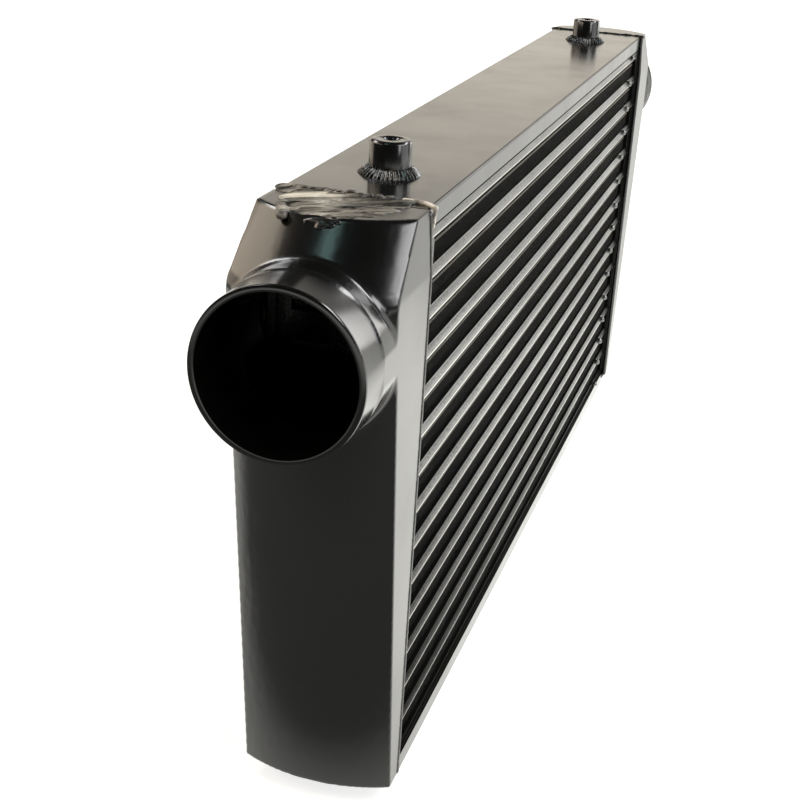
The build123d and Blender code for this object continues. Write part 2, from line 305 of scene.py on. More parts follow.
# Brazed aluminium strip. Gives the eye dull grey metal under a cloudy bloom of dried flux.
bloom_mm = 6.25
bare_sheet, output = new_material("brazed_aluminium_sheet")
place = add_node(bare_sheet, "ShaderNodeTexCoord").outputs["Object"]
bloom = add_node(bare_sheet, "ShaderNodeTexNoise", inputs={"Scale": 1000 / bloom_mm, "Detail": 4.0},
                 links={"Vector": place})
dulled = add_node(bare_sheet, "ShaderNodeMapRange",
                  inputs={"From Min": 0.35, "From Max": 0.65, "To Min": 0.32, "To Max": 0.60},
                  links={"Value": bloom.outputs["Fac"]})
tint = add_node(bare_sheet, "ShaderNodeValToRGB", links={"Fac": bloom.outputs["Fac"]})
tint.color_ramp.elements[0].color = linear("#92928f")
tint.color_ramp.elements[1].color = linear("#7b7b77")
shader = add_node(bare_sheet, "ShaderNodeBsdfPrincipled", inputs={"Metallic": 1.0},
                  links={"Base Color": tint.outputs["Color"], "Roughness": dulled.outputs["Result"]})
bare_sheet.node_tree.links.new(shader.outputs["BSDF"], output.inputs["Surface"])

turbulator_waves = 20
turbulator_metal = 0.00015
space_low, space_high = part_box("charge_turbulators")
row_low, row_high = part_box("front_bar_01")
space_low.z, space_high.z = row_low.z, row_high.z
turbulator = folded_strip(1, turbulator_waves, space_low, space_high, turbulator_metal)
turbulator.name = "fine_turbulators"
work(turbulator, "rows", "ARRAY", count=bar_rows, use_relative_offset=False, use_constant_offset=True,
     constant_offset_displace=(0, 0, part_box("front_bar_02")[0].z - row_low.z))
work(turbulator, "strip_metal", "SOLIDIFY", thickness=turbulator_metal, offset=0)
turbulator.data.materials.append(bare_sheet)
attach(turbulator, "root")
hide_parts("charge_turbulators")

# ---------------------------------------------------------------- cooling fins
# Corrugated strips of thin aluminium, folded with a wave every 2.3 mm, one to each cooling-air
# row. They are brazed to the sheets by their crests and catch the spray on their front edges.

fin_waves = 254
fin_metal = 0.00016
fin_rows = sum(name.startswith("cooling_fin_") for name in nodes)
fin_low, fin_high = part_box("cooling_fin_01")
fin_pitch = (fin_high.x - fin_low.x) / fin_waves
row_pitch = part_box("cooling_fin_02")[0].z - fin_low.z
crest_highlight_height = fin_high.z - fin_low.z - 0.0040
crest_highlight_reach = 0.0006
front_skin = 0.0004


def own_copy(piece, name, move=Matrix()):
    """A copy of a piece with its own mesh, moved, turned or scaled by a matrix."""
    twin = piece.copy()
    twin.data = piece.data.copy()
    twin.data.transform(move)
    twin.name = name
    bpy.context.scene.collection.objects.link(twin)
    return twin


fin_enamel = black_enamel("fin_satin_black_enamel", "#0c0c0b", peel_mm=0.8, peel_height_mm=0.01,
                          roughness=0.42, haze=0.1, gloss=1.35)
# the fins' colour lightens from near black towards the right-hand tank
place = add_node(fin_enamel, "ShaderNodeTexCoord").outputs["Object"]
apart = add_node(fin_enamel, "ShaderNodeSeparateXYZ", links={"Vector": place})
towards_right = add_node(fin_enamel, "ShaderNodeMapRange", inputs={"From Min": -0.25, "From Max": 0.2},
                links={"Value": apart.outputs["X"]})
body = add_node(fin_enamel, "ShaderNodeValToRGB", links={"Fac": towards_right.outputs["Result"]})
body.color_ramp.elements[0].color = linear("#050504")
body.color_ramp.elements[1].color = linear("#1b1a17")
# each rising leg gets a pale fleck at the fin's front edge, a little below its crest: a painted highlight
# where the crests catch the light
above = add_node(fin_enamel, "ShaderNodeMath", {"operation": "SUBTRACT"}, {1: fin_low.z},
                 {0: apart.outputs["Z"]})
height = add_node(fin_enamel, "ShaderNodeMath", {"operation": "MODULO"}, {1: row_pitch},
                  {0: above.outputs["Value"]})
crest = add_node(fin_enamel, "ShaderNodeMath", {"operation": "COMPARE"}, {1: crest_highlight_height, 2: crest_highlight_reach},
                 {0: height.outputs["Value"]})
side = add_node(fin_enamel, "ShaderNodeMath", {"operation": "ABSOLUTE"}, links={0: apart.outputs["Y"]})
front = add_node(fin_enamel, "ShaderNodeMath", {"operation": "GREATER_THAN"}, {1: fin_high.y - front_skin},
                 {0: side.outputs["Value"]})
ahead = add_node(fin_enamel, "ShaderNodeMath", {"operation": "SUBTRACT"}, {1: fin_low.x},
                 {0: apart.outputs["X"]})
wave = add_node(fin_enamel, "ShaderNodeMath", {"operation": "MODULO"}, {1: fin_pitch},
                {0: ahead.outputs["Value"]})
rising = add_node(fin_enamel, "ShaderNodeMath", {"operation": "LESS_THAN"}, {1: fin_pitch / 2},
                  {0: wave.outputs["Value"]})
at_crest = add_node(fin_enamel, "ShaderNodeMath", {"operation": "MULTIPLY"},
                    links={0: crest.outputs["Value"], 1: front.outputs["Value"]})
crest_highlight = add_node(fin_enamel, "ShaderNodeMath", {"operation": "MULTIPLY"},
                 links={0: at_crest.outputs["Value"], 1: rising.outputs["Value"]})
crest_highlighted = add_node(fin_enamel, "ShaderNodeMix", {"data_type": "RGBA"}, {"B": linear("#d8d2c4")},
                   {"Factor": crest_highlight.outputs["Value"], "A": body.outputs["Color"]})
drive(fin_enamel, "Base Color", crest_highlighted.outputs["Result"])

fin = folded_strip(0, fin_waves, fin_low, fin_high, fin_metal)
work(fin, "fin_metal", "SOLIDIFY", thickness=fin_metal, offset=0)
fin.data.materials.append(fin_enamel)
fin.name = "folded_fin_01"
for row in range(1, fin_rows + 1):
    strip = fin
    if row > 1:
        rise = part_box(f"cooling_fin_{row:02d}")[0].z - fin_low.z
        strip = own_copy(fin, f"folded_fin_{row:02d}", Matrix.Translation((0, 0, rise)))
    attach(strip, "root")
    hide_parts(f"cooling_fin_{row:02d}")

# ---------------------------------------------------------------- end tanks
# Hollow aluminium castings that spread the charge air over the rows, each with its pipe stub.
# The corners are rounded by the mould; the hose seat at the pipe's end is turned.

core_end = 0.305
pipe_z = 0.2443
seat_start = core_end + 0.0660
root_x = -0.349  # the casting is a pipe beyond this, and a tank on this side of it
hollow_x, hollow_low, hollow_high = -0.320, 0.03, 0.27  # the middle line of the tank's hollow
bridged = 0.003  # the gap between the casting's cut and the hose seat
mid_wall = 0.0362  # a radius inside the pipe's wall
rounding_start = core_end + 0.002
casting_grain = 0.0009
# where the painted shade on the right-hand pipe begins and where it is full
pipe_shade_start, pipe_shade_end = 0.344, 0.350


def faces_the_hollow(vertex):
    """Whether a vertex lies on the inside of the casting, which needs fewer faces."""
    if vertex.co.x > root_x:
        heart = Vector((hollow_x, 0, min(hollow_high, max(hollow_low, vertex.co.z))))
    else:
        heart = Vector((vertex.co.x, 0, pipe_z))
    return vertex.normal.dot(vertex.co - heart) < 0


def turn_profile(profile, axis, centre):
    """Extrudes the selected ring along an axis, through places and radii in millimetres."""
    at_place, at_radius = profile[0]
    for place, radius in profile[1:]:
        step = (place - at_place) / 1000
        growth = radius / at_radius
        bpy.ops.mesh.extrude_edges_move(TRANSFORM_OT_translate={"value": [step * part for part in axis]})
        if growth != 1:
            bpy.ops.transform.resize(value=[1 if part else growth for part in axis],
                                     center_override=centre)
        at_place, at_radius = place, radius


def bridge_pipe(inner):
    """In edit mode, closes the gap between the casting and the hose seat, inside or outside."""
    shape = bmesh.from_edit_mesh(left_tank.data)
    for edge in shape.edges:
        edge.select_set(False)
    for edge in shape.edges:
        middle = (edge.verts[0].co + edge.verts[1].co) / 2
        radius = math.hypot(middle.y, middle.z - pipe_z)
        if edge.is_boundary and middle.x < root_x and (radius < mid_wall) == inner:
            edge.select_set(True)
    bmesh.update_edit_mesh(left_tank.data)
    bpy.ops.mesh.bridge_edge_loops()


def turn_right_handed(piece):
    """Mirrors a left-hand piece's mesh to the right, with its faces still outwards."""
    piece.data.transform(Matrix.Scale(-1, 4, (1, 0, 0)))
    piece.data.flip_normals()


# The casting: its corners rounded, its inside made of fewer faces, and its pipe cut off short
# of the hose seat.
left_tank = cad_copy("left_end_tank", "left_cast_tank")
work(left_tank, "cast_skin", "REMESH", mode="VOXEL", voxel_size=casting_grain)
bpy.ops.object.mode_set(mode="EDIT")
select_vertices(left_tank, lambda v: v.co.x < -rounding_start)
bpy.ops.mesh.vertices_smooth(factor=0.5, repeat=1)
select_vertices(left_tank, faces_the_hollow)
bpy.ops.mesh.decimate(ratio=0.15)
bpy.ops.mesh.select_all(action="SELECT")
bpy.ops.mesh.bisect(plane_co=(-seat_start + bridged, 0, 0), plane_no=(-1, 0, 0), clear_outer=True)
bpy.ops.object.mode_set(mode="OBJECT")

# The hose seat: from its start out along the skin, over the rounded lip and back down the bore,
# as places along the pipe and radii in millimetres.
seat_profile = [(0.0, 38.0), (-17.0, 38.0), (-18.4, 38.0), (-18.8, 37.85), (-19.0, 37.5), (-19.0, 36.0),
                (-19.0, 35.5), (-18.85, 35.15), (-18.4, 35.0), (-17.0, 35.0), (0.0, 35.0)]
bpy.ops.object.select_all(action="DESELECT")
bpy.ops.mesh.primitive_circle_add(vertices=192, radius=seat_profile[0][1] / 1000,
                                  location=(-seat_start, 0, pipe_z), rotation=(0, math.pi / 2, 0))
bpy.ops.object.transform_apply(location=True, rotation=True, scale=True)
bpy.ops.object.mode_set(mode="EDIT")
bpy.ops.mesh.select_all(action="SELECT")
turn_profile(seat_profile, (1, 0, 0), (0, 0, pipe_z))
bpy.ops.object.mode_set(mode="OBJECT")
left_tank.select_set(True)
bpy.context.view_layer.objects.active = left_tank
bpy.ops.object.join()
bpy.ops.object.mode_set(mode="EDIT")
bpy.ops.mesh.select_mode(type="EDGE")
bridge_pipe(inner=False)
bridge_pipe(inner=True)
bpy.ops.mesh.select_all(action="SELECT")
bpy.ops.mesh.normals_make_consistent(inside=False)
bpy.ops.object.mode_set(mode="OBJECT")
bpy.ops.object.shade_smooth_by_angle(angle=math.radians(38))
right_tank = own_copy(left_tank, "right_cast_tank")
turn_right_handed(right_tank)

tank_enamel = black_enamel("tank_gloss_black_enamel", "#090908", peel_mm=2.4, peel_height_mm=0.005,
                           roughness=0.16, haze=0.07)
# on the right-hand tank most of the pipe is turned dull: painted shade
pipe_shade_enamel = tank_enamel.copy()
pipe_shade_enamel.name = "tank_black_enamel_painted_shade_on_pipe"
place = add_node(pipe_shade_enamel, "ShaderNodeTexCoord").outputs["Object"]
apart = add_node(pipe_shade_enamel, "ShaderNodeSeparateXYZ", links={"Vector": place})
pipe_shade = add_node(pipe_shade_enamel, "ShaderNodeMapRange",
               inputs={"From Min": pipe_shade_start, "From Max": pipe_shade_end, "To Min": full_shine, "To Max": 0.004},
               links={"Value": apart.outputs["X"]})
drive(pipe_shade_enamel, "Specular IOR Level", pipe_shade.outputs["Result"])
for side, tank, finish in (("left", left_tank, tank_enamel), ("right", right_tank, pipe_shade_enamel)):
    tank.data.materials.clear()
    tank.data.materials.append(finish)
    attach(tank, "root")
    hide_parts(f"{side}_end_tank")

# ---------------------------------------------------------------- tank welds
# Hand-laid beads that join each tank to the core: up both corners, along the foot and over the
# cap. Beside the right-hand tank a blob of metal sits on the end of each charge-air bar.

dice = random.Random(7)
seam_x = -0.3046
corner_y = 0.0370
corner_low, corner_high = 0.010, 0.2955
shoulder_z, shoulder_height = 0.2688, 0.0285  # up the shoulder the corner bead thins and leans in
corner_lean = 0.0012
foot_x, foot_z = -0.3062, 0.0072
foot_puddles, foot_half_length = 26, 0.0343
foot_drop = (0.0034, 0.0022, 0.0034)
bar_end, bar_face = 0.2660, 0.0350  # where the blobs sit on the bars
cap_z = 297.2  # the joint on the cap, in millimetres


def weld_metal(name, puddles, grain, passes):
    """Beads of weld metal, as overlapping puddles run together and smoothed; each puddle is a
    centre, three radii and a turn."""
    bpy.ops.object.select_all(action="DESELECT")
    bpy.ops.mesh.primitive_ico_sphere_add(subdivisions=2, radius=1)
    drop = bpy.context.active_object
    pieces = [own_copy(drop, name, Matrix.Translation(centre) @ turn @ Matrix.Diagonal((*radii, 1)))
              for centre, radii, turn in puddles]
    bpy.data.objects.remove(drop)
    for piece in pieces:
        piece.select_set(True)
    bead = pieces[0]
    bpy.context.view_layer.objects.active = bead
    bpy.ops.object.join()
    work(bead, "run_together", "REMESH", mode="VOXEL", voxel_size=grain)
    bpy.ops.object.mode_set(mode="EDIT")
    bpy.ops.mesh.select_all(action="SELECT")
    bpy.ops.mesh.vertices_smooth(factor=0.5, repeat=passes)
    bpy.ops.object.mode_set(mode="OBJECT")
    bpy.ops.object.shade_smooth()
    return bead


def flat_turn(degrees):
    """A turn about the upright axis."""
    return Matrix.Rotation(math.radians(degrees), 4, "Z")


def streak(x, y, z, length, width, height, turn):
    """A fold of weld metal, mostly along the seam; millimetres and degrees."""
    return ((x / 1000, y / 1000, z / 1000), (length / 1000, width / 1000, height / 1000),
            flat_turn(90 + turn))


def shares(count):
    """Evenly spaced shares of a run, from its start at 0 to its end at 1."""
    return [step / (count - 1) for step in range(count)]


def side_and_foot_puddles():
    """Both corner beads and the foot bead of the left-hand tank."""
    puddles = []
    for face in (-1, 1):
        z = corner_low
        while z < corner_high:
            lean = min(1.0, max(0.0, (z - shoulder_z) / shoulder_height))
            x = seam_x + dice.uniform(-0.0001, 0.0001)
            y = face * (corner_y - corner_lean * lean)
            puddles.append(((x, y, z), (0.0019, 0.0017 * (1 - 0.4 * lean), 0.0024), flat_turn(0)))
            z += dice.uniform(0.0016, 0.0022)
    for share in shares(foot_puddles):
        puddles.append(((foot_x, foot_half_length * (2 * share - 1), foot_z), foot_drop, flat_turn(0)))
    return puddles


# On the left the cap's weld was dressed more than once, so it has its own piece; under it hangs
# one glossy run of enamel.
left_puddles = side_and_foot_puddles()
left_puddles += [streak(*fold) for fold in (
    (-340.0, 1.0, 295.6, 7.0, 2.2, 1.5, 4), (-341.2, -1.0, 294.6, 5.4, 2.0, 1.3, -6),
    (-342.4, 0.4, 293.4, 3.0, 1.7, 1.1, 10), (-339.4, -4.6, 296.0, 4.0, 1.8, 1.3, -12),
    (-340.6, 8.2, 295.0, 0.7, 0.8, 1.1, 0), (-341.9, 7.6, 293.8, 0.6, 0.6, 0.8, 0),
    (-343.6, 7.8, 292.2, 0.5, 0.5, 0.5, 0))]
left_weld = weld_metal("left_tank_bead", left_puddles, grain=0.0007, passes=2)

# Outline of the dressed metal on the cap: for each place across the core, from where to where.
patch = [(36.5, -299.8, -302), (34, -299, -308), (30, -297.5, -317), (25, -298, -329), (20, -298.5, -336),
         (15, -299, -338), (10, -299, -339), (0, -298.5, -339.5), (-7, -299.5, -339), (-13, -299, -334),
         (-20, -298, -327), (-26, -297.5, -315), (-28, -298, -306)]
patch_folds = 130
shortest_fold = 1.5


def patch_span(y):
    """From where to where the dressed metal reaches at this place across the core, in millimetres."""
    for (y0, near0, far0), (y1, near1, far1) in zip(patch, patch[1:]):
        if y1 <= y <= y0:
            share = (y0 - y) / (y0 - y1)
            return near0 + (near1 - near0) * share, far0 + (far1 - far0) * share
    return 0, 0


def inside_patch(x, y):
    """Whether a place on the cap lies within the dressed metal."""
    near, far = patch_span(y)
    return far < x < near


# The folds of metal lie slantwise; one that would cross the outline is shortened.
cap_puddles = []
while len(cap_puddles) < patch_folds:
    y = dice.uniform(-27, 35.5)
    near, far = patch_span(y)
    depth = dice.uniform(0.03, 0.97)
    x = near + (far - near) * depth
    turn = dice.gauss(36, 12) if y > 2 else dice.gauss(22, 14)
    length = dice.uniform(8, 17)
    run_x, run_y = -math.sin(math.radians(turn)), math.cos(math.radians(turn))
    while length > 1 and not all(inside_patch(x + reach * run_x, y + reach * run_y)
                                 for reach in (-length, length)):
        length *= 0.85
    if length > shortest_fold:
        z = cap_z - 0.4 * depth + dice.uniform(0, 0.5)
        width = dice.uniform(1.6, 3.6) * min(1, length / 5)
        height = dice.uniform(0.5, 1.3) * (1.15 - 0.5 * depth)
        cap_puddles.append(streak(x, y, z, length, width, height, turn))
# a knotted ridge stands along the seam, and broad folds cross the middle
cap_puddles += [streak(*fold) for fold in (
    (-301, 32, 297.8, 5, 2.0, 1.8, 30), (-300, 26, 297.9, 9, 1.5, 1.6, 8),
    (-299.5, 14, 297.9, 12, 1.5, 1.6, 2), (-300, 2, 298.4, 3.4, 1.7, 1.7, 40),
    (-303, -3.4, 298.5, 2.6, 1.9, 1.8, 30), (-301.5, -7.5, 298.4, 2.0, 1.7, 1.7, 0),
    (-300.5, -11.5, 298.4, 2.2, 1.6, 1.7, 0), (-299, -16, 298.2, 3.0, 1.4, 1.5, 0),
    (-325, 16, 297.6, 12, 2.4, 1.7, 42), (-318, 12, 297.8, 14, 2.6, 1.7, 36),
    (-329, 8, 297.2, 9, 2.6, 1.5, 24), (-328, -5, 297.0, 9, 2.4, 1.3, 34),
    (-320, 0, 297.6, 12, 2.6, 1.6, 40), (-319, -14, 297.2, 8, 2.2, 1.3, 20))]
# one thick fold runs out over the shoulder
for share in shares(12):
    cap_puddles.append(streak(-326 - 14.4 * share, 23.6 - 5.4 * share, 297.5 - 1.6 * share ** 2,
                              3.2 - 0.6 * share, 2.2 + 0.3 * share, 1.5 + 0.5 * share, 20))
cap_weld = weld_metal("left_cap_weld", cap_puddles, grain=0.0006, passes=1)

# A thin rope of metal ends the seam at the front: along the cap, then down over the corner.
rope_puddles = []
for share in shares(34):
    rope_puddles.append(streak(-297.6 - 4.4 * share ** 3, -22 - 15.2 * share, 297.8 - 0.4 * share ** 3,
                               1.4, 1.0 + 0.35 * share, 1.1 + 0.2 * share, 0))
for share in shares(18):
    rope_puddles.append(streak(-302.2 - 0.5 * share, -37.3 + 0.5 * share ** 2, cap_z - 8.0 * share,
                               0.9, 1.35 - 0.7 * share, 1.4, 0))
cap_rope = weld_metal("left_cap_rope", rope_puddles, grain=0.0004, passes=2)

# The right-hand cap has a single narrow, wandering bead, and each bar there has its blob. Both
# are laid out on the left and mirrored.
right_puddles = side_and_foot_puddles()
blob_puddles = []
for face in (-1, 1):
    for row in range(1, bar_rows + 1):
        low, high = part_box(f"front_bar_{row:02d}")
        size = dice.uniform(0.0019, 0.0026)
        x = -bar_end + dice.uniform(-0.0008, 0.0008)
        z = (low.z + high.z) / 2 + dice.uniform(-0.0005, 0.0008)
        blob_puddles.append(((x, face * bar_face, z), (size, 0.0026, size), flat_turn(0)))
y, wander = -35.6, 0.0
while y < 35.8:
    wander = max(-1.2, min(1.2, wander + dice.uniform(-0.6, 0.6)))
    right_puddles.append(streak(-304.8 + wander, y, cap_z, dice.uniform(1.6, 3.4), dice.uniform(1.9, 2.9),
                                dice.uniform(1.0, 1.6), dice.uniform(-40, 40)))
    y += dice.uniform(1.2, 2.4)
for step in range(9):
    right_puddles.append(streak(-304.4, -35.8, 297.0 - step, 1.6, 1.7, 1.6, 0))
right_weld = weld_metal("right_tank_bead", right_puddles, grain=0.0007, passes=2)
right_blobs = weld_metal("right_bar_blobs", blob_puddles, grain=0.0005, passes=1)
turn_right_handed(right_weld)
turn_right_handed(right_blobs)


def set_stops(ramp, stops):
    """Gives a colour ramp its stops, as pairs of a position and a colour."""
    elements = ramp.color_ramp.elements
    while len(elements) < len(stops):
        elements.new(0.5)
    for element, (position, colour) in zip(elements, stops):
        element.position = position
        element.color = colour


def grey(level):
    """A linear grey as the RGBA of a ramp's stop."""
    return (level, level, level, 1)


weld_enamel = black_enamel("weld_gloss_black_enamel", "#141413", peel_mm=1.8, peel_height_mm=0.05,
                           roughness=0.2, haze=0.12)
blob_enamel = black_enamel("blob_glassy_black_enamel", "#0d0d0c", peel_mm=1.8, peel_height_mm=0.01,
                           roughness=0.13, haze=0.04, gloss=2.2)

# Enamel over the rough, reworked metal. Gives the eye pale and brown folds: painted highlights and painted
# shade for the light that the black enamel catches.
folds_per_metre = 330.0  # a fold every 3 mm
painted_shade_patches_per_metre = 75.0  # a patch of painted shade every 13 mm
cap_weld_painted_light, output = new_material("satin_enamel_on_weld_painted_light")
place = add_node(cap_weld_painted_light, "ShaderNodeTexCoord").outputs["Object"]
grain = add_node(cap_weld_painted_light, "ShaderNodeMapping", {"vector_type": "TEXTURE"},
                 {"Rotation": (0, 0, math.radians(36)), "Scale": (1.0, 6.0, 1.0)}, {"Vector": place})
folds = add_node(cap_weld_painted_light, "ShaderNodeTexNoise",
                 inputs={"Scale": folds_per_metre, "Detail": 5.0, "Distortion": 1.2},
                 links={"Vector": grain.outputs["Vector"]})
# pale crests and dark creases along the folds: painted highlight and painted shade
tone = add_node(cap_weld_painted_light, "ShaderNodeValToRGB", links={"Fac": folds.outputs["Fac"]})
set_stops(tone, [(0.38, linear("#241f1a")), (0.58, linear("#efe6d4"))])
parts = add_node(cap_weld_painted_light, "ShaderNodeSeparateXYZ", links={"Vector": place})
across = add_node(cap_weld_painted_light, "ShaderNodeMapRange",
                  inputs={"From Min": -0.04, "From Max": 0.04, "To Min": 0.0, "To Max": 1.0},
                  links={"Value": parts.outputs["Y"]})
# across the core: dark from 26 to 6 mm in front of the middle, near white from 32 mm on where the rope
# runs: painted shade and painted highlight
light_across = add_node(cap_weld_painted_light, "ShaderNodeValToRGB", links={"Fac": across.outputs["Result"]})
set_stops(light_across, [(0.0, grey(1.0)), (0.10, grey(0.9)), (0.17, grey(0.30)), (0.42, grey(0.28)),
                    (0.58, grey(0.95)), (1.0, grey(1.0))])
# random dark patches: painted shade for the hollows among the folds
shade_patch_noise = add_node(cap_weld_painted_light, "ShaderNodeTexNoise", inputs={"Scale": painted_shade_patches_per_metre, "Detail": 2.0},
                 links={"Vector": grain.outputs["Vector"]})
painted_shade_patches = add_node(cap_weld_painted_light, "ShaderNodeMapRange",
                 inputs={"From Min": 0.42, "From Max": 0.56, "To Min": 0.25, "To Max": 1.0},
                 links={"Value": shade_patch_noise.outputs["Fac"]})
shade = add_node(cap_weld_painted_light, "ShaderNodeVectorMath", {"operation": "MULTIPLY"},
                 links={0: tone.outputs["Color"], 1: light_across.outputs["Color"]})
colour = add_node(cap_weld_painted_light, "ShaderNodeVectorMath", {"operation": "SCALE"},
                  links={0: shade.outputs["Vector"], "Scale": painted_shade_patches.outputs["Result"]})
creases = add_node(cap_weld_painted_light, "ShaderNodeBump", inputs={"Strength": 1.0, "Distance": 0.0028},
                   links={"Height": folds.outputs["Fac"]})
shader = add_node(cap_weld_painted_light, "ShaderNodeBsdfPrincipled", inputs={"Roughness": 0.27, "IOR": 1.5},
                  links={"Base Color": colour.outputs["Vector"], "Normal": creases.outputs["Normal"]})
cap_weld_painted_light.node_tree.links.new(shader.outputs["BSDF"], output.inputs["Surface"])

# The rope's pale colour is a painted highlight on its black enamel. Gives the eye a pale satin crest with
# darker mottling.
mottles_per_metre = 300.0
rope_painted_highlight, output = new_material("weld_rope_painted_highlight")
place = add_node(rope_painted_highlight, "ShaderNodeTexCoord").outputs["Object"]
mottle = add_node(rope_painted_highlight, "ShaderNodeTexNoise", inputs={"Scale": mottles_per_metre, "Detail": 2.0},
                 links={"Vector": place})
tone = add_node(rope_painted_highlight, "ShaderNodeValToRGB", links={"Fac": mottle.outputs["Fac"]})
set_stops(tone, [(0.35, linear("#8d857a")), (0.60, linear("#eae2d6"))])
shader = add_node(rope_painted_highlight, "ShaderNodeBsdfPrincipled", inputs={"Roughness": 0.3},
                  links={"Base Color": tone.outputs["Color"]})
rope_painted_highlight.node_tree.links.new(shader.outputs["BSDF"], output.inputs["Surface"])

for side, bead, finish in (("left", left_weld, weld_enamel), ("left", cap_weld, cap_weld_painted_light),
                           ("left", cap_rope, rope_painted_highlight), ("right", right_weld, weld_enamel),
                           ("right", right_blobs, blob_enamel)):
    bead.data.materials.append(finish)
    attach(bead, "root")
    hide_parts(f"{side}_tank_weld")

# ---------------------------------------------------------------- bosses and their welds
# Turned aluminium bosses with a blind M8 thread, which carry the cooler on its brackets.
# Each stands on the top plate in a ring of overlapping weld ripples.

boss_low, boss_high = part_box("left_boss")
boss_x = (boss_low.x + boss_high.x) / 2
plate_top = boss_low.z
ripples = 44
ripple_lean = Matrix.Rotation(math.radians(40), 4, "Y")
ridge_roll = Matrix.Rotation(math.radians(-38), 4, "X")
right_ring_turn = Matrix.Rotation(math.radians(140), 4, "Z")

# The ring is a smooth foot of metal under ridges that lie over it like fallen tiles.
foot_centre, foot_ring = Vector((boss_x, 0, plate_top + 0.0004)), 0.0118
ridge_centre, ridge_ring = Vector((boss_x, 0, plate_top + 0.0010)), 0.0125
ring_drop = (0.0038, 0.0012, 0.0013)
puddles = []
for step in range(ripples):
    angle = (step + dice.uniform(-0.12, 0.12)) * 2 * math.pi / ripples
    out = Vector((math.cos(angle), math.sin(angle), 0))
    slope = Matrix.Rotation(angle, 4, "Z") @ ripple_lean
    ridge = (0.0049 + dice.uniform(-0.0003, 0.0005), 0.00052, 0.0016)
    puddles.append((foot_centre + out * foot_ring, ring_drop, slope))
    puddles.append((ridge_centre + out * ridge_ring, ridge, slope @ ridge_roll))
left_ring = weld_metal("left_boss_bead", puddles, grain=0.00033, passes=1)
ring_enamel = black_enamel("ring_gloss_black_enamel", "#0c0c0b", peel_mm=1.8, peel_height_mm=0.01,
                           roughness=0.14, haze=0.05, gloss=1.9)
left_ring.data.materials.append(ring_enamel)
to_centre = Matrix.Translation((-boss_x, 0, 0))
right_ring = own_copy(left_ring, "right_boss_bead", to_centre @ right_ring_turn @ to_centre)
right_ring.data.materials.clear()
right_ring.data.materials.append(weld_enamel)

# The boss: its outside and top edge, the countersink, ten turns of thread and the blind bottom,
# as height and radius in millimetres.
thread_turns = 10
thread_pitch = 1.25
boss_profile = [(0.0, 10.0), (14.95, 10.0), (15.2, 9.85), (15.85, 9.2), (16.0, 8.9), (16.0, 4.3),
                (15.6, 3.9)]
for turn in range(thread_turns):
    boss_profile += [(15.0 - thread_pitch * turn, 3.4), (14.6 - thread_pitch * turn, 4.0)]
boss_profile += [(2.0, 3.4), (2.0, 0.4)]
bpy.ops.object.select_all(action="DESELECT")
bpy.ops.mesh.primitive_circle_add(vertices=96, radius=boss_profile[0][1] / 1000,
                                  location=(boss_x, 0, plate_top))
left_boss = bpy.context.active_object
left_boss.name = "left_turned_boss"
bpy.ops.object.transform_apply(location=True, rotation=True, scale=True)
bpy.ops.object.mode_set(mode="EDIT")
bpy.ops.mesh.select_all(action="SELECT")
turn_profile(boss_profile, (0, 0, 1), (boss_x, 0, plate_top))
bpy.ops.mesh.edge_face_add()
select_vertices(left_boss, lambda v: v.co.z < plate_top + 0.00001)
bpy.ops.mesh.edge_face_add()
bpy.ops.mesh.select_all(action="SELECT")
bpy.ops.mesh.normals_make_consistent(inside=False)
bpy.ops.object.mode_set(mode="OBJECT")
bpy.ops.object.shade_smooth_by_angle(angle=math.radians(50))
boss_enamel = black_enamel("boss_gloss_black_enamel", "#0b0b0a", peel_mm=1.6, peel_height_mm=0.005,
                           roughness=0.16, haze=0.06)
left_boss.data.materials.append(boss_enamel)
right_boss = own_copy(left_boss, "right_turned_boss", Matrix.Translation((-2 * boss_x, 0, 0)))
for side, boss, ring in (("left", left_boss, left_ring), ("right", right_boss, right_ring)):
    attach(boss, "root")
    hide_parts(f"{side}_boss")
    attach(ring, "root")
    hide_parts(f"{side}_boss_weld")

# ---------------------------------------------------------------- floor
# A pale sheet of paper that runs out under the cooler to all sides. It is lit as paper to the
# lamps, white to the camera, and to the enamel it is the bright and dark ground that gloss shows.

floor_half = 14.0
bpy.ops.object.select_all(action="DESELECT")
bpy.ops.mesh.primitive_plane_add(size=2 * floor_half, location=(0, 0, 0))
floor = bpy.context.active_object
floor.name = "floor"
paper, output = new_material("white_paper")
place = add_node(paper, "ShaderNodeTexCoord").outputs["Object"]
parts = add_node(paper, "ShaderNodeSeparateXYZ", links={"Vector": place})
rays = add_node(paper, "ShaderNodeLightPath")
# to the camera: a soft contact shadow near the cooler that gives way to plain white
away = add_node(paper, "ShaderNodeVectorMath", {"operation": "LENGTH"}, links={0: place})
far_glow = add_node(paper, "ShaderNodeMapRange", {"interpolation_type": "SMOOTHSTEP"},
                    {"From Min": 0.6, "From Max": 1.6, "To Min": 0.80, "To Max": 1.0},
                    {"Value": away.outputs["Value"]})
seen_paper = add_node(paper, "ShaderNodeBsdfDiffuse", inputs={"Color": linear("#b4b4b2")})
seen_glow = add_node(paper, "ShaderNodeEmission", inputs={"Color": (1, 1, 1, 1)},
                     links={"Strength": far_glow.outputs["Result"]})
seen = add_node(paper, "ShaderNodeAddShader", links={0: seen_paper.outputs[0], 1: seen_glow.outputs[0]})
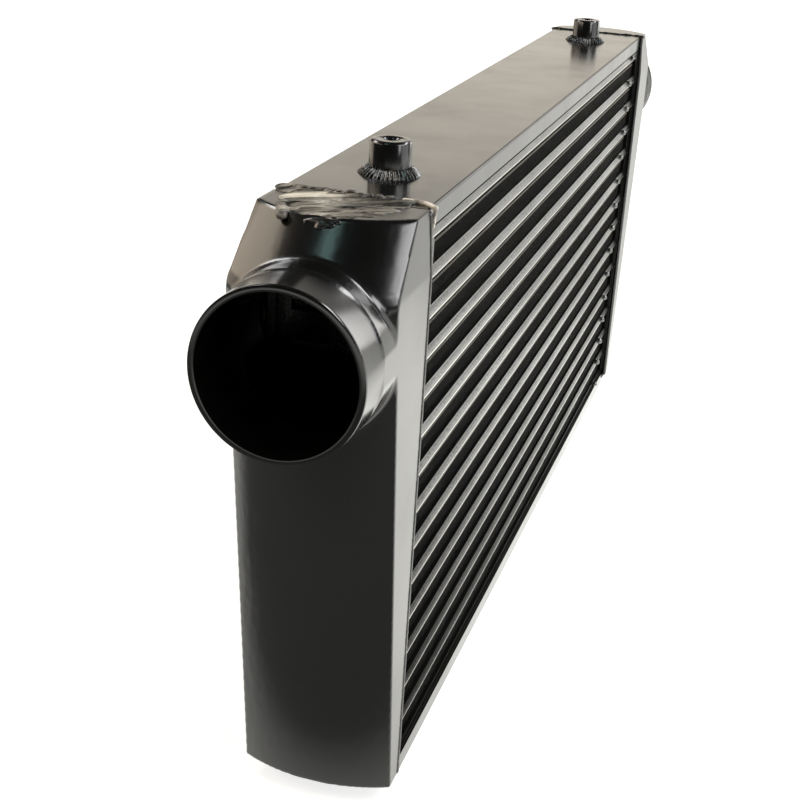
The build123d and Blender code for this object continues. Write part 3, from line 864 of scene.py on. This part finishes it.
# to the gloss: bright and dark stretches along the cooler, dimmed far out to the back
along = add_node(paper, "ShaderNodeMapRange",
                 inputs={"From Min": -1.5, "From Max": 1.5, "To Min": 0.0, "To Max": 1.0},
                 links={"Value": parts.outputs["X"]})
stretches = add_node(paper, "ShaderNodeValToRGB", links={"Fac": along.outputs["Result"]})
set_stops(stretches, [(0.0, grey(0.60)), (0.13, grey(0.42)), (0.175, grey(0.07)), (0.28, grey(0.09)),
                      (0.333, grey(0.145)), (0.379, grey(0.12)), (0.396, grey(0.62)), (0.45, grey(0.86)),
                      (0.567, grey(0.98)), (0.633, grey(0.90)), (0.692, grey(0.62)), (1.0, grey(0.62))])
tinted = add_node(paper, "ShaderNodeVectorMath", {"operation": "MULTIPLY"}, {1: (1.0, 0.992, 0.94)},
                  {0: stretches.outputs["Color"]})
aside = add_node(paper, "ShaderNodeMapRange",
                 inputs={"From Min": 0.9, "From Max": 1.3, "To Min": 1.0, "To Max": 0.10},
                 links={"Value": parts.outputs["Y"]})
dimmed = add_node(paper, "ShaderNodeVectorMath", {"operation": "SCALE"},
                  links={0: tinted.outputs["Vector"], "Scale": aside.outputs["Result"]})
gloss_glow = add_node(paper, "ShaderNodeEmission", inputs={"Strength": 2.1},
                      links={"Color": dimmed.outputs["Vector"]})
# to the lamps: plain paper that throws their light back
lit_paper = add_node(paper, "ShaderNodeBsdfDiffuse", inputs={"Color": linear("#d9d9d6")})
for_camera = add_node(paper, "ShaderNodeMixShader",
                      links={0: rays.outputs["Is Camera Ray"], 1: lit_paper.outputs[0], 2: seen.outputs[0]})
for_gloss = add_node(paper, "ShaderNodeMixShader",
                     links={0: rays.outputs["Is Glossy Ray"], 1: for_camera.outputs[0],
                            2: gloss_glow.outputs[0]})
paper.node_tree.links.new(for_gloss.outputs[0], output.inputs["Surface"])
floor.data.materials.append(paper)

# ---------------------------------------------------------------- studio light
# A white backdrop that lights little, and large diffused lamps. The walls fold the light round
# the tanks, the key comes from the front, and the small lamps make the welds glint.

world = bpy.data.worlds.new("studio")
bpy.context.scene.world = world
world.use_nodes = True
world.node_tree.nodes.clear()
world_output = add_node(world, "ShaderNodeOutputWorld")
rays = add_node(world, "ShaderNodeLightPath")
strength = add_node(world, "ShaderNodeMapRange",
                    inputs={"From Min": 0.0, "From Max": 1.0, "To Min": 0.04, "To Max": 1.0},
                    links={"Value": rays.outputs["Is Camera Ray"]})
backdrop = add_node(world, "ShaderNodeBackground", inputs={"Color": (1, 1, 1, 1)},
                    links={"Strength": strength.outputs["Result"]})
world.node_tree.links.new(backdrop.outputs[0], world_output.inputs["Surface"])


def softbox(name, azimuth, elevation, distance, width, height, radiance, colour="#ffffff",
            aim=(0, 0, 0.25)):
    """A rectangular diffused lamp that faces the object from a direction, in degrees and metres."""
    lamp = bpy.data.lights.new(name, "AREA")
    lamp.shape = "RECTANGLE"
    lamp.size, lamp.size_y = width, height
    lamp.energy = radiance * math.pi * width * height
    lamp.color = linear(colour)[:3]
    flat = math.cos(math.radians(elevation))
    towards = Vector((flat * math.cos(math.radians(azimuth)), flat * math.sin(math.radians(azimuth)),
                      math.sin(math.radians(elevation))))
    holder = bpy.data.objects.new(name, lamp)
    holder.location = Vector(aim) + towards * distance
    holder.rotation_euler = towards.to_track_quat("Z", "Y").to_euler()
    holder.visible_camera = False
    bpy.context.scene.collection.objects.link(holder)


cap = (0, 0, 0.3)
left_boss_top = (-0.25, 0, 0.3)
softbox("far_wall", 5, 9.5, 2.8, 5.0, 1.0, 1.15, "#fff6e6", cap)
softbox("far_wall_haze", -12, 27, 2.6, 2.4, 0.75, 0.50, "#fffaf0", cap)
softbox("left_fold", 75, 6, 2.2, 2.0, 1.1, 1.6, "#ffeed8")
softbox("left_wall", 99, 32, 1.8, 1.2, 0.85, 3.2, "#ffeed8")
softbox("left_glint", 132, 30, 1.6, 0.95, 0.42, 3.6, "#ffeed8")
softbox("right_wall", -30, 13, 2.4, 1.3, 1.0, 3.2)
softbox("key", -103, 38, 1.5, 0.75, 0.75, 7.0)
softbox("key_fold", -122, 26, 1.6, 0.30, 0.85, 5.0)
softbox("edge_fill", -85, 10, 2.0, 1.7, 0.8, 1.6)
softbox("cool_strip", 161, 58.5, 1.56, 0.19, 0.5, 3.4, "#a8d2cc")
softbox("ring_glint_right", -40, 41, 2.0, 1.20, 0.28, 12.0, aim=left_boss_top)
softbox("ring_glint_left", 64, 42, 2.0, 1.00, 0.40, 8.0, aim=left_boss_top)

# ---------------------------------------------------------------- camera
# It stands about half a metre off the left-hand tank, a little above it and in front of the core,
# and looks along the core and down.

sensor = 36.0
focal_pixels = 1460.6
frame_pixels = 800
stand = Vector((-0.8911, -0.1942, 0.4541))
right = Vector((0.2951501, -0.9537518, 0.0569554))
up = Vector((0.34243861, 0.16124606, 0.92560008))
turn = Matrix((right, up, right.cross(up))).transposed().to_4x4()
camera_data = bpy.data.cameras.new("camera")
camera_data.sensor_width = sensor
camera_data.lens = sensor * focal_pixels / frame_pixels
camera = bpy.data.objects.new("camera", camera_data)
camera.matrix_world = Matrix.Translation(stand) @ turn
bpy.context.scene.collection.objects.link(camera)
bpy.context.scene.camera = camera
bpy.context.scene.view_settings.view_transform = "Standard"
